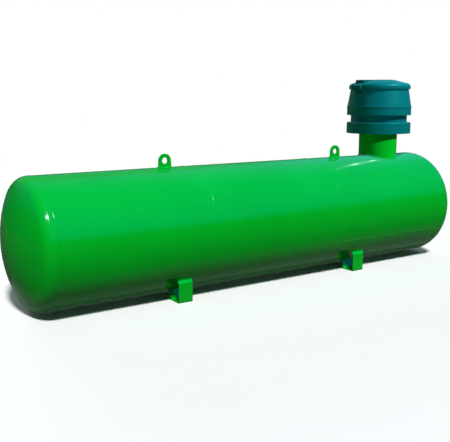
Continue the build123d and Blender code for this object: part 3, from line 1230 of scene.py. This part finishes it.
# Each part of the dial has its colour and roughness
dialLook = {
    "face": ((0.75, 0.75, 0.72), 0.4),
    "ink": ((0.02, 0.02, 0.022), 0.5),
    "pointer": ((0.5, 0.02, 0.015), 0.4),
    "clouds": (90.0, 3.0),
    "between": (0.3, 0.6),
    "dim": 0.85,
    "glassRoughness": 0.02,
    "glassBend": 1.45,
}


def dialFinish(name, colour, roughness):
    look = {
        "pale": colour,
        "dark": tuple(dialLook["dim"] * value for value in colour),
        "clouds": dialLook["clouds"],
        "between": dialLook["between"],
        "roughness": roughness,
    }
    return mottled(name, look)[0]


def dialAngle(share):
    return math.radians(dial["firstAngle"] - dial["sweep"] * share)


def settleOnGauge(piece, finish):
    settle(piece, "tank", slotOf["level_gauge"], finish)


def addTicks():
    bpy.ops.object.select_all(action="DESELECT")
    bpy.ops.mesh.primitive_cube_add(size=1)
    tick = shaped("tick", dial["tickSize"])
    editAll(tick)
    bpy.ops.mesh.bevel(offset=dial["tickBevel"])
    bpy.ops.object.mode_set(mode="OBJECT")
    radius = dial["tickFrom"] + dial["tickSize"][0] / 2
    shares = [index / (dial["ticks"] - 1) for index in range(dial["ticks"])]
    places = [aboutNeck(radius, dialAngle(share), dial["markZ"]) for share in shares]
    return repeated(tick, places, "ticks")


def addNumber(index, word):
    step = dial["firstNumber"] + index * dial["numberStep"]
    angle = dialAngle(step / (dial["ticks"] - 1))
    radius = dial["numberRadius"]
    bpy.ops.object.select_all(action="DESELECT")
    bpy.ops.object.text_add(location=(0, 0, 0))
    text = bpy.context.object.data
    text.body = word
    text.size = dial["numberSize"]
    text.extrude = dial["numberDepth"]
    text.align_x = "CENTER"
    text.align_y = "CENTER"
    bpy.ops.object.convert(target="MESH")
    number = bpy.context.object
    faceOut(number)
    spot = (neckX + radius * math.cos(angle), radius * math.sin(angle), dial["markZ"])
    number.location = spot
    return number


def addPointer():
    radius, length = dial["needle"]
    bpy.ops.object.select_all(action="DESELECT")
    bpy.ops.mesh.primitive_cylinder_add(
        vertices=4,
        radius=radius,
        depth=length,
        location=(dial["needleMiddle"], 0, 0),
        rotation=(0, quarterTurn, 0),
    )
    needle = shaped("needle")
    for vertex in needle.data.vertices:
        if vertex.co.x > 0:
            vertex.co.y *= dial["needleTip"]
            vertex.co.z *= dial["needleTip"]
    boss = turned("boss", dial["boss"], dial["bossSteps"])
    pointer = joinPieces([needle, boss], "dialPointer")
    pointer.matrix_world = aboutNeck(0.0, dialAngle(dial["reading"]), dial["pointerZ"])
    settleOnGauge(pointer, dialFinish("pointerRed", *dialLook["pointer"]))


def dialGlass():
    material, tree, shader, place = newMaterial("dialGlass")
    shader.inputs["Transmission Weight"].default_value = 1.0
    shader.inputs["Roughness"].default_value = dialLook["glassRoughness"]
    shader.inputs["IOR"].default_value = dialLook["glassBend"]
    return material


def addDial():
    ink = dialFinish("dialInk", *dialLook["ink"])
    face = turned("dialFace", dial["face"])
    face.location = (neckX, 0, dial["faceZ"])
    settleOnGauge(face, dialFinish("dialWhite", *dialLook["face"]))
    marks = [addTicks()]
    marks += [addNumber(index, word) for index, word in enumerate(dial["numbers"])]
    settleOnGauge(joinPieces(marks, "dialMarks"), ink)
    addPointer()
    glass = dialGlass()
    cover = turned("dialGlass", dial["glass"])
    cover.location = (neckX, 0, dial["glassZ"])
    settleOnGauge(cover, glass)
    bezel = turned("dialBezel", dial["bezel"], dial["bezelSteps"])
    bezel.location = (neckX, 0, dial["bezelZ"])
    settleOnGauge(bezel, finishes["bright_steel"])


addDial()
print("fittings dressed")


# Glints of the bright surroundings on the shell beside the neck and on the left head, seen only
# by gloss. Each lamp has its place, the direction that it is long in, width, length and power
glints = {
    "colour": (0.55, 0.9, 1.0),
    "besideNeck": (1.3, -0.29, 1.20),
    "neckLamps": (
        ((6.42, 1.26, 6.78), (-0.02, 0.31, -0.10), 0.10, 0.35, 16.0),
        ((6.79, 2.37, 6.19), (0.23, 1.20, -0.70), 0.20, 1.4, 16.0),
        ((7.27, 3.10, 5.62), (0.16, 0.75, -0.55), 0.14, 0.8, 16.0),
    ),
    "onHead": (-2.55, -0.45, 0.95),
    "headLamps": (
        ((-3.70, -2.08, 3.28), (0.98, -0.18, 0.13), 0.50, 1.15, 60.0),
    ),
}


# The glow of a lamp, which falls away from its middle to nothing at its rim
def glintLight(power):
    material, tree, shader, place = newMaterial("glintLight")
    away = mathOf(tree, "MULTIPLY", lengthOf(tree, place), 2.0)
    soft = mathOf(tree, "SUBTRACT", 1.0, away, clamp=True)
    strength = mathOf(tree, "MULTIPLY", soft, power)
    colour = (*glints["colour"], 1.0)
    showAs(tree, addNode(tree, "ShaderNodeEmission", Color=colour, Strength=strength))
    return material


def addGlints(lamps, target):
    for place, along, width, length, power in lamps:
        bpy.ops.mesh.primitive_plane_add(size=1)
        lamp = bpy.context.object
        lamp.name = "studioGlint"
        lamp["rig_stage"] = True
        seenOnlyInGloss(lamp)
        facing = (Vector(target) - Vector(place)).normalized()
        across = Vector(along).cross(facing).normalized()
        upward = facing.cross(across)
        turn = Matrix((across * width, upward * length, facing)).transposed().to_4x4()
        lamp.matrix_world = Matrix.Translation(place) @ turn
        lamp.data.materials.append(glintLight(power))


addGlints(glints["neckLamps"], glints["besideNeck"])
addGlints(glints["headLamps"], glints["onHead"])


# The cover and the neck have suns of their own, as each stands in another light in the photograph.
# All that stands above the tank is hidden from gloss, because the tank there mirrors none of it
def piecesNamed(*words):
    return [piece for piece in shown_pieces() if piece.name.split("_")[0] in words]


coverPieces = piecesNamed("cover", "hinge", "lid", "body")
neckPieces = piecesNamed("neck")
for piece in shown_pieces():
    lowest = min(corner[2] for corner in piece.bound_box)
    if piece in neckPieces or lowest > axisZ + tankRadius:
        piece.visible_glossy = False
addSun("tankSun", light["tankStrength"], light["tankSpread"], others=coverPieces + neckPieces)
addSun("coverSun", light["coverStrength"], light["sunSpread"], receivers=coverPieces)
addSun("neckSun", light["neckStrength"], light["sunSpread"], receivers=neckPieces)
addSun("backFill", light["fillStrength"], light["fillSpread"])
print("lamps ready")
